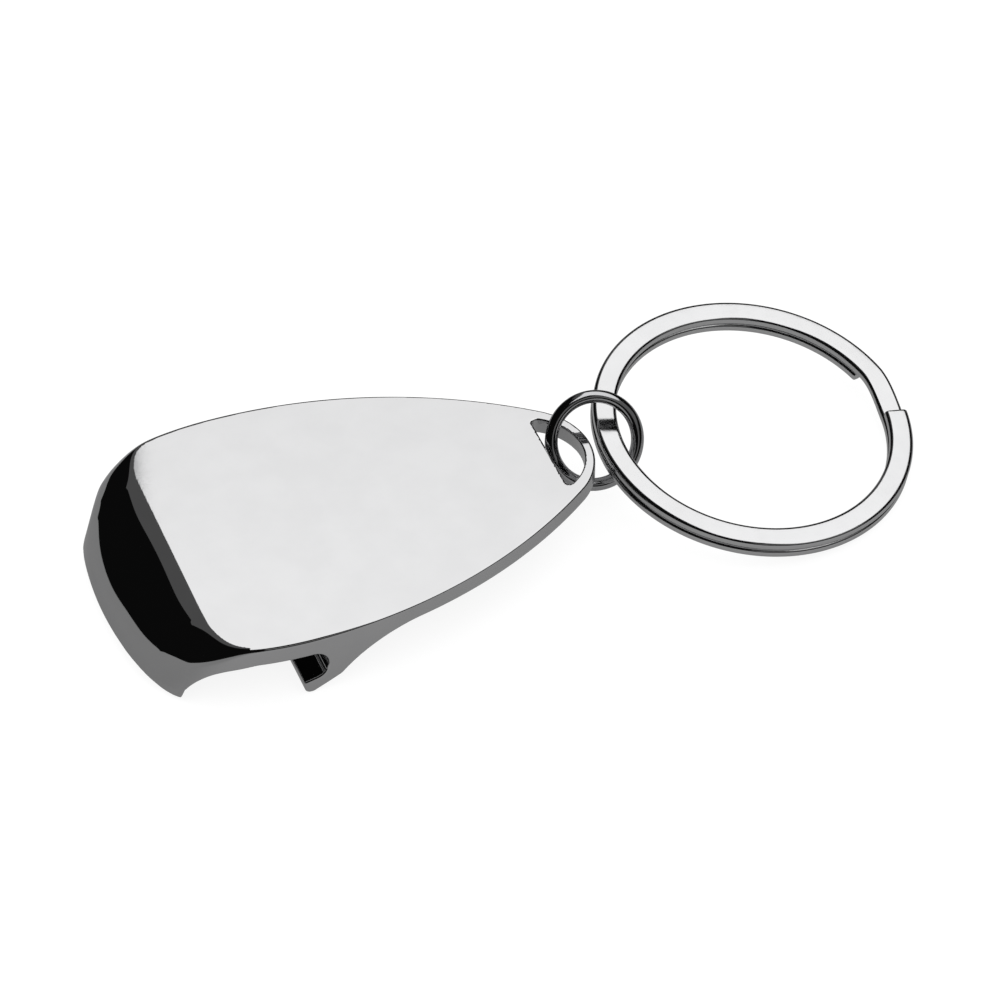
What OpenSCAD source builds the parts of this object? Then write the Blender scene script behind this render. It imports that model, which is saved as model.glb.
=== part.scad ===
// Keychain bottle opener: a cast opener body, a jump ring through its eye and a two-turn split ring.
// Millimetres, +Z up. The origin is the middle of the hook's foot, where the opener stands, and +X runs
// from the cap lip towards the rings. The left and right sides of the body mirror each other across Y = 0.

/* [Body outline] */
// Length of the body from the nose to the tip of the eye
body_len = 47.2; // [44:0.1:50]
// Width of the body at its widest place
body_w = 30.8; // [29:0.1:33]
// Height of the top face above the hook's foot
body_h = 6.4; // [6:0.1:7.5]
// Distance from the nose back to the hook's foot
nose_reach = 14.5; // [14:0.1:15.5]
// Distance from the hook's foot to the widest place
wide_x = 0.9; // [0:0.1:3]
// Plan radius of the front edge
nose_r = 35.5; // [30:0.5:42]
// Plan radius of the two front corners
corner_r = 4.4; // [3.5:0.1:6]
// Plan radius of the sides ahead of the widest place
flank_r = 29.6; // [28:0.1:36]
// Plan radius of the narrow end
tip_r = 7; // [6:0.1:8]

/* [Body section] */
// Length over which the nose rolls down from the flat top
roll_len = 7.4; // [6:0.1:8.5]
// Height of the nose's lower edge above the foot
nose_edge_h = 1.1; // [0.8:0.1:1.6]
// Thickness of the plate at the rings' end
plate_t = 1.75; // [1.4:0.05:2]
// Thickness of the plate between the lip and the hook
web_t = 2; // [1.6:0.05:2.2]

/* [Cap lip and hook] */
// Distance from the nose back to the lip's inner edge
lip_len = 3.3; // [2.8:0.1:3.8]
// Radius of the arch that rises from the lip
arch_r = 5.3; // [5:0.1:6]
// Radius of the round notch that takes the rim of a crown cap
notch_r = 1.45; // [1.2:0.05:1.5]
// Length of the flat foot under the hook
foot_len = 0.7; // [0.6:0.1:0.9]
// Radius of the hollow that blends the hook into the plate
back_r = 11.9; // [11.5:0.1:12.5]

/* [Eye] */
// Distance from the straight edge of the eye to the tip
eye_depth = 4.2; // [4:0.05:4.4]
// Radius of the rounded side of the eye
eye_r = 5.45; // [5.2:0.05:5.6]
// Width of the rim at the tip
rim_w = 0.75; // [0.6:0.05:0.9]

/* [Jump ring] */
// Outer diameter of the jump ring
jump_od = 9.35; // [9.2:0.05:9.5]
// Diameter of its round wire
jump_wire_d = 1.2; // [1:0.05:1.25]
// Width of the seam where the wire's ends meet
jump_seam = 0.08; // [0.05:0.01:0.15]

/* [Split ring] */
// Outer diameter of the split ring
ring_od = 30; // [28:0.5:30]
// Width of its flat wire
band_w = 2.2; // [2:0.05:2.3]
// Thickness of one turn of the wire
turn_t = 0.92; // [0.8:0.01:0.95]
// Gap between the two turns
turn_gap = 0.06; // [0.04:0.01:0.1]
// Angle over which the wire steps from one turn to the other
step_angle = 23; // [18:1:30]

/* [Hidden] */

// Straight runs of an arc, and of the wire's step, stay under about this length
facet_len = 0.9;
step_parts = 12;
fine_fn = 64;

nose_x = -nose_reach;
tip_x = nose_x + body_len;
half_w = body_w / 2;

// Centres of the outline's arcs, each tangent to the next
tail_run = tip_x - tip_r - wide_x;
tail_r = (pow(tail_run, 2) + pow(half_w, 2) - pow(tip_r, 2)) / (2 * (half_w - tip_r));
nose_c = [nose_x + nose_r, 0];
flank_c = [wide_x, half_w - flank_r];
tail_c = [wide_x, half_w - tail_r];
tip_c = [tip_x - tip_r, 0];
corner_c = meet(nose_c, nose_r - corner_r, flank_c, flank_r - corner_r);

// Heights and places of the underside
top_z = body_h;
roll_x = nose_x + roll_len;
roll_drop = body_h - nose_edge_h;
roll_r = (pow(roll_len, 2) + pow(roll_drop, 2)) / (2 * roll_drop);
roll_c = [roll_x, top_z - roll_r];
web_z = top_z - web_t;
plate_z = top_z - plate_t;
lip_x = nose_x + lip_len;
lip_z = 1;
lip_round = 0.25;
lip_face = 1.1;
arch_x = lip_x + 4.25;
arch_top_z = web_z - 0.4;
arch_c = [arch_x, arch_top_z - arch_r];
arch_start = acos((lip_x + lip_round - arch_x) / arch_r);
web_start_x = arch_x + 2.2;
notch_c = [0.4, web_z + 0.1 - notch_r];
tooth_tip = [-0.55, 0.75];
tooth_top = [-0.35, 1.3];
knee = [3.1, 1.3];
back_c = [knee[0] + 8.3, plate_z - back_r];
back_start = atan2(knee[1] - back_c[1], knee[0] - back_c[0]);

eye_x = tip_x - eye_depth;
eye_c = tip_x - rim_w - eye_r;

jump_r = (jump_od - jump_wire_d) / 2;
jump_turn = 360 - jump_seam / jump_r * 180 / PI;
jump_seam_at = -60;
jump_at = [33.5, 0.9, 5.5];
jump_tilt = [56.4, -7, 0];

ring_inner_r = ring_od / 2 - band_w;
turn_pitch = turn_t + turn_gap;
ring_at = [48.55, -0.95, 4.6];
ring_tilt = [8.1, 6.5, 0];
ring_end_angle = -6;
ring_end_gap = 2;
// The wire runs level for this far, in millimetres or degrees, before it starts to step
step_flat = 0.4;

// Points along an arc about c from angle a to angle b
function arc(c, r, a, b) =
    let (n = max(2, ceil(abs(b - a) * PI / 180 * r / facet_len)))
    [for (i = [0:n]) c + r * [cos(a + (b - a) * i / n), sin(a + (b - a) * i / n)]];

// Angle of the direction from p to q
function heading(p, q) = atan2(q[1] - p[1], q[0] - p[0]);

// The crossing of two circles that lies to the left of the line from p to q
function meet(p, rp, q, rq) =
    let (d = norm(q - p), along = (pow(d, 2) + pow(rp, 2) - pow(rq, 2)) / (2 * d), u = (q - p) / d)
    p + along * u + sqrt(pow(rp, 2) - pow(along, 2)) * [u[1], -u[0]];

// One side of the egg-shaped outline, from the nose to the tip
function side_outline() =
    let (at_corner = heading(nose_c, corner_c),
         at_flank = heading(flank_c, corner_c),
         at_tip = heading(tail_c, tip_c))
    concat(arc(nose_c, nose_r, 180, at_corner),
           arc(corner_c, corner_r, at_corner, at_flank),
           arc(flank_c, flank_r, at_flank, 90),
           arc(tail_c, tail_r, 90, at_tip),
           arc(tip_c, tip_r, at_tip, 0));

module body_plan() {
    side = side_outline();
    last = len(side) - 1;
    difference() {
        polygon(concat(side, [for (i = [last:-1:0]) [side[i][0], -side[i][1]]]));
        intersection() {
            translate([eye_c, 0]) circle(r = eye_r, $fn = fine_fn);
            translate([eye_x, -eye_r]) square([eye_depth, 2 * eye_r]);
        }
    }
}

// Length section: flat top, rolled nose, cap lip, arch, cap notch, hook and plate
module body_section() {
    past_tip = tip_x + 1;
    polygon(concat(
        arc(roll_c, roll_r, heading(roll_c, [nose_x, nose_edge_h]), 90),
        [[past_tip, top_z], [past_tip, plate_z]],
        arc(back_c, back_r, 90, back_start),
        [[foot_len / 2, 0], [-foot_len / 2, 0], tooth_tip, tooth_top],
        arc(notch_c, notch_r, -90, 90),
        [[web_start_x, web_z]],
        arc(arch_c, arch_r, 90, arch_start),
        [[lip_x, lip_z + lip_round], [lip_x - lip_round, lip_z]]));
}

module opener_body() {
    color("silver")
    intersection() {
        linear_extrude(height = body_h + 1) body_plan();
        rotate([90, 0, 0]) linear_extrude(height = body_w + 2, center = true) body_section();
    }
}

module jump_ring() {
    color("dimgray")
    translate(jump_at) rotate(jump_tilt) rotate([0, 0, jump_seam_at])
        rotate_extrude(angle = jump_turn, $fn = fine_fn)
            translate([jump_r, 0]) circle(d = jump_wire_d, $fn = fine_fn);
}

// Wedge of the heights z0 to z1, from angle a to angle b, wider than the wire on both sides
module wedge(z0, z1, a, b) {
    rotate([0, 0, a])
        rotate_extrude(angle = b - a, $fn = fine_fn)
            translate([ring_inner_r - band_w, z0]) square([3 * band_w, z1 - z0]);
}

// Straight bar across the wire at the middle of the step, with an outline seen along the radius
module step_bar(outline) {
    rotate([0, 0, ring_end_angle + step_angle / 2]) rotate([90, 0, 90])
        linear_extrude(height = ring_od) polygon(outline);
}

// What two stacked turns leave open: the slit between them, and the room over and under the slanted step
module turn_gaps() {
    step_end = ring_end_angle + step_angle;
    lower_end = step_end + ring_end_gap;
    reach = ring_inner_r * sin(step_angle / 2) - step_flat;
    rise = [for (i = [0:step_parts])
        [reach * (2 * i / step_parts - 1), -turn_pitch * (1 + cos(180 * i / step_parts)) / 2]];
    under = [for (p = rise) p - [0, turn_t]];
    over_z = turn_t;
    under_z = -turn_pitch - 2 * turn_t;
    wedge(-turn_pitch, -turn_t, lower_end - step_flat, ring_end_angle + 360 + step_flat);
    intersection() {
        wedge(-turn_pitch, over_z, ring_end_angle, step_end);
        step_bar(concat([[-ring_od, -turn_pitch]], rise, [[reach, over_z], [-ring_od, over_z]]));
    }
    intersection() {
        wedge(under_z, -turn_t, ring_end_angle, lower_end);
        step_bar(concat([[-reach, under_z]], under, [[ring_od, -turn_t], [ring_od, under_z]]));
    }
}

module split_ring() {
    height = turn_pitch + turn_t;
    color("lightgray")
    translate(ring_at) rotate(ring_tilt)
        difference() {
            translate([0, 0, -height]) cylinder(h = height, d = ring_od, $fn = fine_fn);
            translate([0, 0, -2 * height]) cylinder(h = 3 * height, r = ring_inner_r, $fn = fine_fn);
            turn_gaps();
        }
}

opener_body();
jump_ring();
split_ring();
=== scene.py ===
"""Keychain bottle opener: a polished cast body, a round-wire jump ring and a flat-wire split ring.

Shapes are worked out in millimetres in the CAD frame (x from the nose to the rings, z = 0 at the hook's foot)
and are scaled to metres when each mesh is made.
"""

import math
from itertools import product

import bpy
import numpy as np
from mathutils import Matrix, Vector


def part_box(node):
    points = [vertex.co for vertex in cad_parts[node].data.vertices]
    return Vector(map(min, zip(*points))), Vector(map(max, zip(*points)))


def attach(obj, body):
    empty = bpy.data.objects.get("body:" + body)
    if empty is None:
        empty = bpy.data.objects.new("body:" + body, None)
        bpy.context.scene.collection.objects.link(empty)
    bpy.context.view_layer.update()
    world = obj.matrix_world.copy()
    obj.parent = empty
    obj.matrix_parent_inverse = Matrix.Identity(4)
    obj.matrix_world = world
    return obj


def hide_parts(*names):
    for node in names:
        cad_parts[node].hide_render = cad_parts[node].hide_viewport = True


MM = 0.001

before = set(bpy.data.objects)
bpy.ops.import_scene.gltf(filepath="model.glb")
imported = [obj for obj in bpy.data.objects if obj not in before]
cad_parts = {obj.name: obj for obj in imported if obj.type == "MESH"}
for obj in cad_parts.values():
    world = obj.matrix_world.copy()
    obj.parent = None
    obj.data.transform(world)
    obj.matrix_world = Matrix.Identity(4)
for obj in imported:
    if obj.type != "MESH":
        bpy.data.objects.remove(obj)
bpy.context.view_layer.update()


# ---------------------------------------------------------------- sizes, in millimetres

# The body's ends, width and height come from its CAD node; radii, depths and reaches are given here
def node_box(name):
    """Lowest and highest corner of a CAD node, in millimetres."""
    lo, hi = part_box(name)
    return np.array(lo) / MM, np.array(hi) / MM


body_lo, body_hi = node_box("opener_body")
NOSE_X, TIP_X = body_lo[0], body_hi[0]
HALF_W = (body_hi[1] - body_lo[1]) / 2
TOP_Z = body_hi[2]

# Plan outline, as tangent arcs
NOSE_R, CORNER_R, FLANK_R, TIP_R = 35.5, 4.4, 29.6, 7.0
WIDE_X = 0.9
# Flat top: a straight front edge with rounded corners, set in from the outline by the edge's rounding
FLAT_X, FLAT_CORNER_R = NOSE_X + 6.93, 2.68
FRONT_EDGE_R, TAIL_EDGE_R, EDGE_R_RANGE = 0.465, 0.2, (-6.0, 16.0)
# Rounding from the flat top down to the walls: as deep as the body at the nose, less towards the flanks
CORNER_DEPTH, CORNER_DEPTH_RANGE = 1.61, (NOSE_X + 2.93, NOSE_X + 10.94)
NOSE_RUN, NOSE_RUN_POWER = 2.5, 1.42
MIDDLE_Y, MIDDLE_X = 8.0, (NOSE_X + 6.0, NOSE_X + 9.0)
INSET_POWER, UP_POWER = 2.0, 2.27
# Front corners: walls leaning inwards as they rise, cut back from the outline (where |y|, over which spread)
FRONT_RANGE, LIP_Z = (NOSE_X + 2.5, NOSE_X + 10.5), 1.1
CORNER_LEAN, CORNER_LEAN_AT = 0.266, (9.52, 3.13)
CORNER_CUT, CORNER_CUT_AT = 0.594, (11.31, 1.98)
# Lower edge of the lip, dipping towards its two ends
DIP, DIP_Y, DIP_X = 0.85, (7.5, 11.8), (NOSE_X + 2.8, NOSE_X + 7.5)
UNDER_EDGE_R, EYE_EDGE_R = 0.18, 0.15
# Underside, as corners (x, z, rounding radius) of one path from the lip to the tip
UNDERSIDE = (
    (-40, 1.06, 0), (-11.02, 1.06, 0.2), (-10.72, 2.07, 0.8), (-9.6, 3.51, 4.0), (-4.7, 4.4, 3.0),
    (1.85, 4.5, 1.44), (1.85, 1.92, 1.44), (-0.52, 1.27, 0.3), (-0.4, 0.0, 0.5), (0.35, 0.0, 0.5),
    (3.1, 1.3, 0.6), (6.6, 4.68, 11.4), (60, 4.68, 0), (60, 40, 0), (-40, 40, 0),
)
# D-shaped eye
EYE_X, EYE_C, EYE_R, EYE_CORNER_R = TIP_X - 4.05, TIP_X - 6.3, 5.4, 0.8


# ---------------------------------------------------------------- signed distances, negative inside

def round_both(a, b, r):
    """Intersection of two shapes whose shared edge is rounded to the radius r."""
    return np.minimum(np.maximum(a, b), -r) + np.hypot(np.maximum(a + r, 0), np.maximum(b + r, 0))


def smoothstep(lo, hi, x):
    """0 up to lo and 1 from hi, with a smooth rise between them."""
    t = np.clip((x - lo) / (hi - lo), 0, 1)
    return t * t * (3 - 2 * t)


def crossing(p, rp, q, rq):
    """The upper crossing of two circles."""
    d = np.linalg.norm(q - p)
    along = (d * d + rp * rp - rq * rq) / (2 * d)
    u = (q - p) / d
    side = math.sqrt(rp * rp - along * along)
    return max((p + along * u + s * side * np.array([u[1], -u[0]]) for s in (1, -1)), key=lambda c: c[1])


def outline_arcs():
    """Centre, radius and end angles of each arc of the outline's upper half, from the tip to the nose."""
    run = TIP_X - TIP_R - WIDE_X
    tail_r = (run**2 + HALF_W**2 - TIP_R**2) / (2 * (HALF_W - TIP_R))
    nose = np.array([NOSE_X + NOSE_R, 0.0])
    flank = np.array([WIDE_X, HALF_W - FLANK_R])
    tail = np.array([WIDE_X, HALF_W - tail_r])
    tip = np.array([TIP_X - TIP_R, 0.0])
    corner = crossing(nose, NOSE_R - CORNER_R, flank, FLANK_R - CORNER_R)
    at = [0.0] + [math.atan2(*(q - p)[::-1]) for p, q in ((tail, tip), (flank, flank + [0, 1]))]
    at += [math.atan2(*(corner - p)[::-1]) for p in (flank, nose)] + [math.pi]
    centres = (tip, tail, flank, corner, nose)
    return list(zip(centres, (TIP_R, tail_r, FLANK_R, CORNER_R, NOSE_R), at[:-1], at[1:]))


ARCS = outline_arcs()


def outline_distance(x, y):
    """Signed distance to the plan outline, which mirrors across y = 0."""
    y = np.abs(y)
    best = np.full(np.broadcast(x, y).shape, np.inf)
    signed = np.zeros_like(best)
    for c, r, a0, a1 in ARCS:
        dx, dy = x - c[0], y - c[1]
        off = np.hypot(dx, dy) - r
        angle = np.arctan2(dy, dx)
        near = (angle >= a0 - 1e-9) & (angle <= a1 + 1e-9) & (np.abs(off) < best)
        best = np.where(near, np.abs(off), best)
        signed = np.where(near, off, signed)
    return np.where(np.isinf(best), -HALF_W, signed)


def half_width(x):
    """Half width of the outline at x."""
    x = np.clip(x, NOSE_X + 1e-6, TIP_X - 1e-6)
    out = np.zeros_like(x)
    for c, r, a0, a1 in ARCS:
        lo, hi = sorted((c[0] + r * math.cos(a0), c[0] + r * math.cos(a1)))
        here = (x >= lo) & (x <= hi)
        out = np.where(here, c[1] + np.sqrt(np.maximum(r * r - (x - c[0]) ** 2, 0)), out)
    return out


def rounded_path(corners):
    """Lines and arcs of a closed path, counter-clockwise, whose corners are rounded to their radii."""
    n = len(corners)
    pts = [np.array(c[:2], float) for c in corners]
    cuts = []
    for i, (_, _, r) in enumerate(corners):
        p, q, s = pts[i - 1], pts[i], pts[(i + 1) % n]
        u, v = (q - p) / np.linalg.norm(q - p), (s - q) / np.linalg.norm(s - q)
        turn = math.atan2(u[0] * v[1] - u[1] * v[0], u @ v)
        t = r * abs(math.tan(turn / 2))
        left = np.array([-u[1], u[0]]) * math.copysign(1, turn)
        cuts.append((q - t * u, q + t * v, q - t * u + r * left, r, math.copysign(1, turn)))
    lines = [(cuts[i][1], cuts[(i + 1) % n][0]) for i in range(n)]
    arcs = [(c, r, sense, a, b) for a, b, c, r, sense in cuts if r > 0]
    return lines, arcs


def path_distance(path, x, z):
    """Signed distance to a rounded path; the shape is on its left."""
    lines, arcs = path
    best = np.full(np.broadcast(x, z).shape, np.inf)
    signed = np.zeros_like(best)

    def keep(d, value, ok):
        nonlocal best, signed
        take = ok & (d < best)
        best = np.where(take, d, best)
        signed = np.where(take, value, signed)

    for p, q in lines:
        length = np.linalg.norm(q - p)
        if length < 1e-9:
            continue
        u = (q - p) / length
        along = (x - p[0]) * u[0] + (z - p[1]) * u[1]
        off = (x - p[0]) * u[1] - (z - p[1]) * u[0]
        over = np.maximum(np.maximum(-along, along - length), 0)
        keep(np.hypot(off, over), np.where(off < 0, -1, 1) * np.hypot(off, over), True)
    for c, r, sense, a, b in arcs:
        start, end = a - c, b - c
        dx, dz = x - c[0], z - c[1]
        after = sense * (start[0] * dz - start[1] * dx) >= 0
        before = sense * (end[0] * dz - end[1] * dx) <= 0
        off = np.hypot(dx, dz) - r
        keep(np.abs(off), sense * off, after & before)
    return signed


UNDER_PATH = rounded_path(UNDERSIDE)


def hump(y, at, spread):
    """1 where |y| is at the middle of the hump, falling to 0 away from it."""
    return np.exp(-(((np.abs(y) - at) / spread) ** 2))


def wall_distance(x, y, z):
    """Signed distance to the walls: the outline, with its front corners leaning inwards and cut back."""
    rise = np.clip(z - LIP_Z, 0, None)
    back = rise * CORNER_LEAN * hump(y, *CORNER_LEAN_AT) + CORNER_CUT * hump(y, *CORNER_CUT_AT)
    return outline_distance(x, y) + (1 - smoothstep(*FRONT_RANGE, x)) * back


def top_distance(x, y, z):
    """Signed distance to the flat top and the elliptical rounding between it and the walls."""
    wall = wall_distance(x, y, z)
    edge = FRONT_EDGE_R + (TAIL_EDGE_R - FRONT_EDGE_R) * smoothstep(*EDGE_R_RANGE, x)
    inset = np.maximum(round_both(FLAT_X - x, wall + edge, FLAT_CORNER_R), 0)
    reach = np.maximum(inset - wall, edge)
    corner = CORNER_DEPTH * (1 - smoothstep(*CORNER_DEPTH_RANGE, x))
    ahead = np.clip(1 - (x - NOSE_X) / NOSE_RUN, 0, 1) ** NOSE_RUN_POWER
    middle = hump(y, 0, MIDDLE_Y) * (1 - smoothstep(*MIDDLE_X, x))
    nose = 1 - (1 - ahead) * (1 - middle)
    deep = edge + corner + (TOP_Z - edge - CORNER_DEPTH) * nose
    up = np.maximum(z - (TOP_Z - deep), 0)
    level = ((inset / reach) ** INSET_POWER + (up / deep) ** UP_POWER) ** (1 / UP_POWER)
    rounded = (level - 1) * np.minimum(reach, deep)
    return np.where(up <= 0, wall, np.where(inset > 0, rounded, np.maximum(z - TOP_Z, wall)))


def body_distance(x, y, z):
    """The opener body: walls, top, underside and eye, with every edge rounded."""
    dip = DIP * smoothstep(*DIP_Y, np.abs(y)) * (1 - smoothstep(*DIP_X, x))
    shape = round_both(top_distance(x, y, z), path_distance(UNDER_PATH, x, z + dip), UNDER_EDGE_R)
    eye = round_both(np.hypot(x - EYE_C, y) - EYE_R, EYE_X - x, EYE_CORNER_R)
    return round_both(shape, -eye, EYE_EDGE_R)


# ---------------------------------------------------------------- from a distance to a mesh

def levels(stops):
    """Rising values through (value, step) stops: each step is used up to the next stop."""
    out = [stops[0][0]]
    for (a, step), (b, _) in zip(stops, stops[1:]):
        n = max(1, round((b - a) / step))
        out += [a + (b - a) * i / n for i in range(1, n + 1)]
    return np.array(out)


def surface_net(points, field):
    """Quads around field = 0 on a warped grid of points, with one vertex in each cell that it crosses."""
    inside = field < 0
    corners = np.array(list(product((0, 1), repeat=3)))
    size = np.array(field.shape) - 1
    part = [inside[tuple(slice(c[i], c[i] + size[i]) for i in range(3))] for c in corners]
    active = np.any(part, axis=0) & ~np.all(part, axis=0)
    base = np.argwhere(active)
    number = np.full(active.shape, -1)
    number[active] = np.arange(len(base))
    at = [tuple((base + c).T) for c in corners]
    total, count = np.zeros((len(base), 3)), np.zeros((len(base), 1))
    for a, b in product(range(8), repeat=2):
        if a < b and np.abs(corners[a] - corners[b]).sum() == 1:
            fa, fb = field[at[a]], field[at[b]]
            cut = (fa < 0) != (fb < 0)
            t = (fa[cut] / (fa[cut] - fb[cut]))[:, None]
            total[cut] += points[at[a]][cut] * (1 - t) + points[at[b]][cut] * t
            count[cut] += 1
    faces = []
    for axis in range(3):
        u, v = np.eye(3, dtype=int)[[(axis + 1) % 3, (axis + 2) % 3]]
        low = inside.take(range(size[axis]), axis)
        high = inside.take(range(1, size[axis] + 1), axis)
        for rising, turn in ((low & ~high, 1), (~low & high, -1)):
            edge = np.argwhere(rising)
            ring = [number[tuple((edge - d).T)] for d in (0 * u, u, u + v, v)][::turn]
            faces.append(np.stack(ring, axis=1))
    return total / count, np.concatenate(faces)


def gradient(distance, p, eps=1e-3):
    """How fast the distance grows along each axis at the points p."""
    out = np.zeros_like(p)
    for axis in range(3):
        d = np.zeros(3)
        d[axis] = eps
        out[:, axis] = (distance(*(p + d).T) - distance(*(p - d).T)) / (2 * eps)
    return out


def settle(distance, p, rounds=4):
    """Points moved onto the surface, and its normals there."""
    for _ in range(rounds):
        g = gradient(distance, p)
        p = p - distance(*p.T)[:, None] * g / np.maximum((g * g).sum(1), 1e-6)[:, None]
    g = gradient(distance, p)
    return p, g / np.linalg.norm(g, axis=1)[:, None]


def new_piece(name, verts, faces, normals, body, node, slot, material):
    """Mesh object in metres, with smooth shading, in place of a CAD node."""
    mesh = bpy.data.meshes.new(name)
    mesh.from_pydata((verts * MM).tolist(), [], faces.tolist() if hasattr(faces, "tolist") else faces)
    mesh.validate()
    mesh.shade_smooth()
    if normals is not None:
        mesh.normals_split_custom_set_from_vertices(normals.tolist())
    mesh.materials.append(material)
    piece = bpy.data.objects.new(name, mesh)
    bpy.context.scene.collection.objects.link(piece)
    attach(piece, body)
    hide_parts(node)
    return piece


# Where the body is plain enough for a coarse grid: beyond this x, and within this share of its half width
PLAIN_X, PLAIN_WIDTH = 4.0, 0.45


def body_mesh():
    """The body on a grid whose lines follow its outline, so that its edges run along rows of quads."""
    front_x, back_x = NOSE_X + 2.6, TIP_X - 2.0
    front_w, back_w = half_width(np.array([front_x, back_x]))
    # Grid lines lie close together at the edges, on the nose and around the eye
    xs = levels([(front_x - 0.6, 0.12), (front_x - 0.12, 0.06), (front_x + 0.42, 0.09), (FLAT_X + 3.0, 0.24),
                 (PLAIN_X, 0.6), (EYE_X - 2.2, 0.12), (back_x - 0.36, 0.06), (back_x + 0.12, 0.1),
                 (back_x + 0.42, 0.1)])
    near_edge = 1 + levels([(-0.55, 0.06), (0.1, 0.15), (0.4, 1)]) / HALF_W
    between = levels([(-near_edge[0], 0.15 / HALF_W), (-PLAIN_WIDTH, 0.36 / HALF_W),
                      (PLAIN_WIDTH, 0.15 / HALF_W), (near_edge[0], 1)])[1:-1]
    vs = np.concatenate([-near_edge[::-1], between, near_edge])
    zs = levels([(-0.3, 0.1), (0.5, 0.16), (TOP_Z - 2.2, 0.12), (TOP_Z - 1.4, 0.15), (TOP_Z - 0.5, 0.06),
                 (TOP_Z + 0.1, 0.1), (TOP_Z + 0.3, 1)])

    def end_x(y, inward):
        """Outline's x at y, at the nose (inward 1) or the tip (inward -1)."""
        lo, hi = (NOSE_X, front_x + 0.01) if inward > 0 else (back_x - 0.01, TIP_X)
        sample = np.linspace(lo, hi, 4001)
        w = half_width(sample)
        return np.interp(np.abs(y), w[::inward], sample[::inward])

    share = np.clip((xs - front_x) / (back_x - front_x), 0, 1)[:, None]
    bow = (1 - share) * (end_x(np.clip(vs, -1, 1) * front_w, 1) - front_x)
    bow = bow + share * (end_x(np.clip(vs, -1, 1) * back_w, -1) - back_x)
    x = xs[:, None] + bow
    y = vs[None, :] * half_width(np.clip(xs, front_x, back_x))[:, None]
    points = np.stack(np.broadcast_arrays(x[:, :, None], y[:, :, None], zs[None, None, :]), axis=-1)
    verts, faces = surface_net(points, body_distance(*np.moveaxis(points, -1, 0)))
    verts, normals = settle(body_distance, verts)
    verts[:, 2] = np.maximum(verts[:, 2], 0)
    return verts, faces, normals


# ---------------------------------------------------------------- materials

# Noise scales per metre, and bump heights in metres
TONE_SCALE, SHINE_SCALE, RIPPLE_SCALE, SCRATCH_SCALE = 260.0, 900.0, 420.0, 1800.0
RIPPLE_HEIGHT, SCRATCH_HEIGHT = 0.00002, 0.000004
SCRATCH_STRETCH, SCRATCH_TURN = (1.0, 14.0, 6.0), (0, 0, 0.4)


def polished_metal(name, tint, roughness, ripple, scratch):
    """Bright metal with faint polishing ripple, hairline scratches and uneven shine."""
    mat = bpy.data.materials.new(name)
    mat.use_nodes = True
    nodes, links = mat.node_tree.nodes, mat.node_tree.links
    shader = nodes["Principled BSDF"]
    shader.inputs["Metallic"].default_value = 1.0
    place = nodes.new("ShaderNodeTexCoord").outputs["Object"]

    def noise(scale, detail=3.0, stretch=None):
        n = nodes.new("ShaderNodeTexNoise")
        n.inputs["Scale"].default_value = scale
        n.inputs["Detail"].default_value = detail
        source = place
        if stretch:
            m = nodes.new("ShaderNodeMapping")
            m.inputs["Scale"].default_value = stretch
            m.inputs["Rotation"].default_value = SCRATCH_TURN
            links.new(place, m.inputs["Vector"])
            source = m.outputs["Vector"]
        links.new(source, n.inputs["Vector"])
        return n.outputs["Fac"]

    def spread(value, lo, hi, low, high):
        m = nodes.new("ShaderNodeMapRange")
        m.inputs["From Min"].default_value = lo
        m.inputs["From Max"].default_value = hi
        m.inputs["To Min"].default_value = low
        m.inputs["To Max"].default_value = high
        links.new(value, m.inputs["Value"])
        return m.outputs["Result"]

    tone = nodes.new("ShaderNodeMix")
    tone.data_type = "RGBA"
    links.new(spread(noise(TONE_SCALE), 0.35, 0.65, 0.0, 1.0), tone.inputs["Factor"])
    tone.inputs["A"].default_value = (*[c * 0.985 for c in tint], 1)
    tone.inputs["B"].default_value = (*[min(1, c * 1.015) for c in tint], 1)
    links.new(tone.outputs["Result"], shader.inputs["Base Color"])
    shine = spread(noise(SHINE_SCALE, 4.0), 0.3, 0.7, roughness * 0.75, roughness * 1.3)
    links.new(shine, shader.inputs["Roughness"])
    waves = nodes.new("ShaderNodeBump")
    waves.inputs["Strength"].default_value = ripple
    waves.inputs["Distance"].default_value = RIPPLE_HEIGHT
    links.new(noise(RIPPLE_SCALE, 1.0), waves.inputs["Height"])
    lines = nodes.new("ShaderNodeBump")
    lines.inputs["Strength"].default_value = scratch
    lines.inputs["Distance"].default_value = SCRATCH_HEIGHT
    links.new(noise(SCRATCH_SCALE, 2.0, stretch=SCRATCH_STRETCH), lines.inputs["Height"])
    links.new(waves.outputs["Normal"], lines.inputs["Normal"])
    links.new(lines.outputs["Normal"], shader.inputs["Normal"])
    return mat


# ---------------------------------------------------------------- wire rings

def placed(points, at, tilt_x, tilt_y):
    """Points turned about X, then about Y, and moved."""
    a, b = math.radians(tilt_x), math.radians(tilt_y)
    rx = np.array([[1, 0, 0], [0, math.cos(a), -math.sin(a)], [0, math.sin(a), math.cos(a)]])
    ry = np.array([[math.cos(b), 0, math.sin(b)], [0, 1, 0], [-math.sin(b), 0, math.cos(b)]])
    return points @ (ry @ rx).T + np.array(at)


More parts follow.
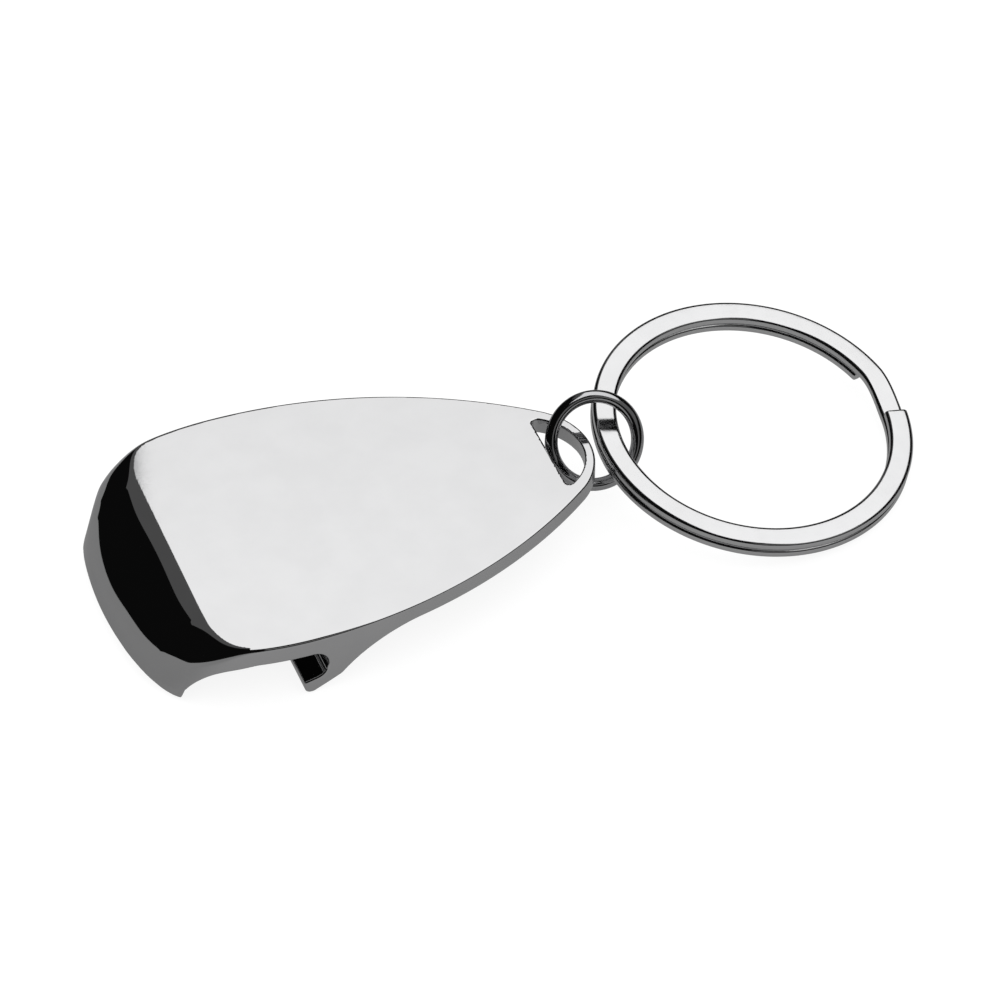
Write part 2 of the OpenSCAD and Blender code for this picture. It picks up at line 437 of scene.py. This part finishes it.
def wire_mesh(route, sideways, upward, section, end_round):
    """A wire of one closed section along a route, with both ends rounded off and closed."""
    rings = []
    n = len(route)
    ahead = np.gradient(route, axis=0)
    ahead /= np.linalg.norm(ahead, axis=1)[:, None]
    steps = 4

    def ring(i, shrink, push):
        s = section * (1 - shrink / np.abs(section).max(0))
        return route[i] + push * ahead[i] + s[:, :1] * sideways[i] + s[:, 1:] * upward[i]

    for k in range(steps):
        a = math.pi / 2 * k / steps
        rings.append(ring(0, end_round * (1 - math.sin(a)), end_round * (1 - math.cos(a))))
    rings += [ring(i, 0, 0) for i in range(1, n - 1)]
    for k in reversed(range(steps)):
        a = math.pi / 2 * k / steps
        rings.append(ring(n - 1, end_round * (1 - math.sin(a)), -end_round * (1 - math.cos(a))))
    verts = np.concatenate(rings)
    m = len(section)
    faces = [(r * m + j, r * m + (j + 1) % m, (r + 1) * m + (j + 1) % m, (r + 1) * m + j)
             for r in range(len(rings) - 1) for j in range(m)]
    faces += [tuple(reversed(range(m))), tuple((len(rings) - 1) * m + j for j in range(m))]
    return verts, faces


def rounded_bar(width, height, reach, depth, steps=7):
    """Section of a flat wire with elliptical edges, counter-clockwise."""
    flat, tall = width / 2 - reach, height / 2 - depth
    out = []
    for k, (sx, sz) in enumerate(((1, 1), (-1, 1), (-1, -1), (1, -1))):
        for i in range(steps + 1):
            a = math.pi / 2 * (k + i / steps)
            out.append((sx * flat + reach * math.cos(a), sz * tall + depth * math.sin(a)))
        if k in (0, 2):
            out += [(sx * flat * t, sz * height / 2) for t in (0.5, 0, -0.5)]
    return np.array(out)


# Split ring: its size, centre and tilt, the angles of its end, step and end gap, and its rounding
RING_OD, BAND_W, TURN_T, TURN_GAP = 30.0, 2.2, 0.92, 0.06
RING_AT, RING_TILT = (48.55, -0.95, 4.6), (8.1, 6.5)
RING_END, RING_STEP, RING_END_GAP = -6.0, 23.0, 2.0
BAND_EDGE_REACH, BAND_EDGE_DEPTH, RING_END_ROUND = 0.42, 0.32, 0.15
# Jump ring: its size (a hair under the CAD's, to stay inside its box), seam, the rounding of its ends at the
# seam, its centre and its tilt
JUMP_OD, JUMP_WIRE, JUMP_SEAM, JUMP_END_ROUND = 9.345, 1.2, 0.08, 0.06
JUMP_AT, JUMP_TILT, JUMP_SEAM_AT = (33.5, 0.9, 5.5), (56.4, -7.0), -60.0


def split_ring_mesh():
    """One flat wire wound twice: down the upper turn, through the step and round the lower turn."""
    pitch = TURN_T + TURN_GAP
    mid_r = (RING_OD - BAND_W) / 2
    first, last = RING_END + 360, RING_END + RING_STEP + RING_END_GAP - 360
    angles = np.radians(np.linspace(first, last, 721))
    down = smoothstep(RING_END + RING_STEP - 1.5, RING_END + 1.5, np.degrees(angles))
    z = -TURN_T / 2 - pitch * down
    out = np.stack([np.cos(angles), np.sin(angles), 0 * angles], axis=1)
    up = np.tile([0.0, 0.0, 1.0], (len(angles), 1))
    route = mid_r * out + z[:, None] * up
    section = rounded_bar(BAND_W, TURN_T, BAND_EDGE_REACH, BAND_EDGE_DEPTH)
    verts, faces = wire_mesh(route, out, up, section, RING_END_ROUND)
    return placed(verts, RING_AT, *RING_TILT), faces


def jump_ring_mesh():
    """Round wire bent into a ring, its two ends nearly meeting."""
    mid_r = (JUMP_OD - JUMP_WIRE) / 2
    gap = math.degrees(JUMP_SEAM / mid_r)
    angles = np.radians(np.linspace(JUMP_SEAM_AT + 360 - gap, JUMP_SEAM_AT, 241))
    out = np.stack([np.cos(angles), np.sin(angles), 0 * angles], axis=1)
    up = np.tile([0.0, 0.0, 1.0], (len(angles), 1))
    turn = np.linspace(0, 2 * math.pi, 33)[:-1]
    section = JUMP_WIRE / 2 * np.stack([np.cos(turn), np.sin(turn)], axis=1)
    verts, faces = wire_mesh(mid_r * out, out, up, section, JUMP_END_ROUND)
    return placed(verts, JUMP_AT, *JUMP_TILT), faces


# ---------------------------------------------------------------- camera, stage and light

VIEW_AZIMUTH, VIEW_ELEVATION = -20.86, 43.13
VIEW_TARGET, VIEW_DISTANCE = Vector((23.54, -0.98, 3.0)) * MM, 577.4 * MM
LENS_MM, SENSOR_MM = 228.03, 36.0
# Studio, in metres: reflected cards, table and lamp; the table, shade and floor lie just below z = 0
CARD_DISTANCE, LEAN_FROM = 3.0, 45.0
TABLE_SIZE, FLOOR_Z, SHADE_Z, TABLE_Z = 3.0, -0.0001, -0.00012, -0.0002
WORLD_GLOW, PAPER_TONE, PAPER_GLOW, SHADE_GLOW = 0.004, 0.14, 0.88, 0.002
TABLE_PAINTED_SHADE_AT_NOSE, TABLE_TONE = 0.185, 0.245
# Tone of the table seen in reflections, and its painted shade: darker at the nose, standing in for the body's
# shadow on the table there
LAMP_SIZE, LAMP_ENERGY, LAMP_AT = 4.0, 95.0, (0.1, 0.1, 1.2)
SKY_GLOW, SOFTBOX_LOW, SOFTBOX_HIGH, SIDE_GLOW, DIM_GLOW = 1.12, (0.0, 1.06), (0.16, 1.15), 0.15, 0.085


def look_from(azimuth, elevation):
    """Direction from the object to a camera at this azimuth and elevation."""
    a, e = math.radians(azimuth), math.radians(elevation)
    return Vector((math.sin(a) * math.cos(e), -math.cos(a) * math.cos(e), math.sin(e)))


def make_camera():
    data = bpy.data.cameras.new("camera")
    data.lens, data.sensor_width = LENS_MM, SENSOR_MM
    data.clip_start, data.clip_end = 0.01, 10.0
    camera = bpy.data.objects.new("camera", data)
    bpy.context.scene.collection.objects.link(camera)
    back = look_from(VIEW_AZIMUTH, VIEW_ELEVATION)
    right = Vector((math.cos(math.radians(VIEW_AZIMUTH)), math.sin(math.radians(VIEW_AZIMUTH)), 0))
    turn = Matrix((right, back.cross(right), back)).transposed().to_4x4()
    camera.matrix_world = Matrix.Translation(VIEW_TARGET + VIEW_DISTANCE * back) @ turn
    bpy.context.scene.camera = camera


def emitter(name, strength):
    """A white glowing material, and the socket of its strength."""
    mat = bpy.data.materials.new(name)
    mat.use_nodes = True
    nodes = mat.node_tree.nodes
    nodes.clear()
    glow = nodes.new("ShaderNodeEmission")
    glow.inputs["Color"].default_value = (1, 1, 1, 1)
    glow.inputs["Strength"].default_value = strength
    surface = nodes.new("ShaderNodeOutputMaterial").inputs["Surface"]
    mat.node_tree.links.new(glow.outputs["Emission"], surface)
    return mat, glow.inputs["Strength"]


def matte(name):
    """A material with no shine, and its inputs."""
    mat = bpy.data.materials.new(name)
    mat.use_nodes = True
    inputs = mat.node_tree.nodes["Principled BSDF"].inputs
    inputs["Roughness"].default_value = 1.0
    inputs["Specular IOR Level"].default_value = 0.0
    return mat, inputs


def card(name, corners, material):
    """A flat studio card that shows only in reflections."""
    mesh = bpy.data.meshes.new(name)
    mesh.from_pydata([tuple(c) for c in corners], [], [tuple(range(len(corners)))])
    mesh.materials.append(material)
    obj = bpy.data.objects.new(name, mesh)
    bpy.context.scene.collection.objects.link(obj)
    obj.visible_camera = obj.visible_diffuse = obj.visible_shadow = False
    return obj


def sky_card(name, azimuth, elevation, strength, lean=0.0):
    """A card seen from the object between two azimuths and two elevations, in degrees.

    Its far side leans out by lean degrees of azimuth between LEAN_FROM and straight up.
    """
    (a0, a1), (e0, e1) = azimuth, elevation
    wide, high = 12, 24
    verts = []
    for e in np.linspace(e0, e1, high + 1):
        end = a1 + lean * max(0.0, (e - LEAN_FROM) / (90 - LEAN_FROM))
        flat, up = CARD_DISTANCE * math.cos(math.radians(e)), CARD_DISTANCE * math.sin(math.radians(e))
        for a in np.radians(np.linspace(a0, end, wide + 1)):
            verts.append((flat * math.cos(a), flat * math.sin(a), up))
    row = wide + 1
    corners = [r * row + i for r in range(high) for i in range(wide)]
    faces = [(c, c + 1, c + row + 1, c + row) for c in corners]
    mesh = bpy.data.meshes.new(name)
    mesh.from_pydata(verts, [], faces)
    material, strength_socket = emitter(name, strength)
    mesh.materials.append(material)
    obj = bpy.data.objects.new(name, mesh)
    bpy.context.scene.collection.objects.link(obj)
    obj.location = VIEW_TARGET
    obj.visible_camera = obj.visible_diffuse = obj.visible_shadow = False
    return material, strength_socket


def fade(material, socket, coordinate, axis, start, end):
    """A value on a socket that runs from start to end, each a (place on the axis, value) pair."""
    nodes, links = material.node_tree.nodes, material.node_tree.links
    split = nodes.new("ShaderNodeSeparateXYZ")
    links.new(nodes.new("ShaderNodeTexCoord").outputs[coordinate], split.inputs["Vector"])
    run = nodes.new("ShaderNodeMapRange")
    run.interpolation_type = "SMOOTHSTEP"
    for name, value in zip(("From Min", "To Min", "From Max", "To Max"), (*start, *end)):
        run.inputs[name].default_value = value
    links.new(split.outputs[axis], run.inputs["Value"])
    links.new(run.outputs["Result"], socket)


def make_stage():
    scene = bpy.context.scene
    scene.view_settings.view_transform = "Standard"
    world = bpy.data.worlds.new("studio")
    world.use_nodes = True
    background = world.node_tree.nodes["Background"].inputs
    background["Color"].default_value = (1, 1, 1, 1)
    background["Strength"].default_value = WORLD_GLOW
    scene.world = world
    paper, paper_inputs = matte("paper")
    paper_inputs["Base Color"].default_value = (PAPER_TONE, PAPER_TONE, PAPER_TONE, 1)
    paper_inputs["Emission Color"].default_value = (1, 1, 1, 1)
    paper_inputs["Emission Strength"].default_value = PAPER_GLOW
    size = TABLE_SIZE
    corners = [(-size, -size, 0), (size, -size, 0), (size, size, 0), (-size, size, 0)]
    floor = card("floor", corners, paper)
    floor.visible_camera = floor.visible_diffuse = True
    floor.visible_glossy = False
    floor.location.z = FLOOR_Z
    # Table seen only in reflections; its tone fades darker towards the nose as painted shade, standing in for
    # the body's shadow beside the nose wall
    table_and_painted_shade, table_and_painted_shade_inputs = matte("table_and_painted_shade")
    painted_shade_stop, light = ((NOSE_X - 2) * MM, TABLE_PAINTED_SHADE_AT_NOSE), ((NOSE_X + 7) * MM, TABLE_TONE)
    fade(table_and_painted_shade, table_and_painted_shade_inputs["Base Color"], "Object", "X", painted_shade_stop, light)
    table = card("table_in_reflections", corners, table_and_painted_shade)
    table.location.z = TABLE_Z
    under = [(-11.5, -11, 0), (24, -9, 0), (24, 9, 0), (-11.5, 11, 0)]
    shade = card("shade_under_body", under, emitter("shade", SHADE_GLOW)[0])
    shade.scale = (MM, MM, MM)
    shade.location.z = SHADE_Z
    data = bpy.data.lights.new("overhead", "AREA")
    data.size, data.energy = LAMP_SIZE, LAMP_ENERGY
    lamp = bpy.data.objects.new("overhead", data)
    lamp.location = LAMP_AT
    lamp.visible_glossy = False
    bpy.context.scene.collection.objects.link(lamp)


make_camera()
make_stage()
softbox, softbox_strength = sky_card("softbox", (-60, 74.5), (41, 90), SKY_GLOW)
fade(softbox, softbox_strength, "Generated", "Z", SOFTBOX_LOW, SOFTBOX_HIGH)
sky_card("overhead_card", (-110, -60), (64, 90), SKY_GLOW)
sky_card("side_card", (-95, -25), (20, 40), SIDE_GLOW)
sky_card("dim_card", (74.5, 91), (15, 90), DIM_GLOW, lean=50)

casting = polished_metal("polished_casting", (0.70, 0.70, 0.705), 0.022, 0.015, 0.05)
jump_wire = polished_metal("jump_wire", (0.55, 0.55, 0.56), 0.09, 0.10, 0.10)
ring_wire = polished_metal("ring_wire", (0.74, 0.74, 0.745), 0.12, 0.12, 0.2)

new_piece("body_casting", *body_mesh(), "opener", "opener_body", "polished_casting", casting)
new_piece("jump_ring_wire", *jump_ring_mesh(), None, "link", "jump_ring", "jump_wire", jump_wire)
new_piece("split_ring_wire", *split_ring_mesh(), None, "keyring", "split_ring", "ring_wire", ring_wire)
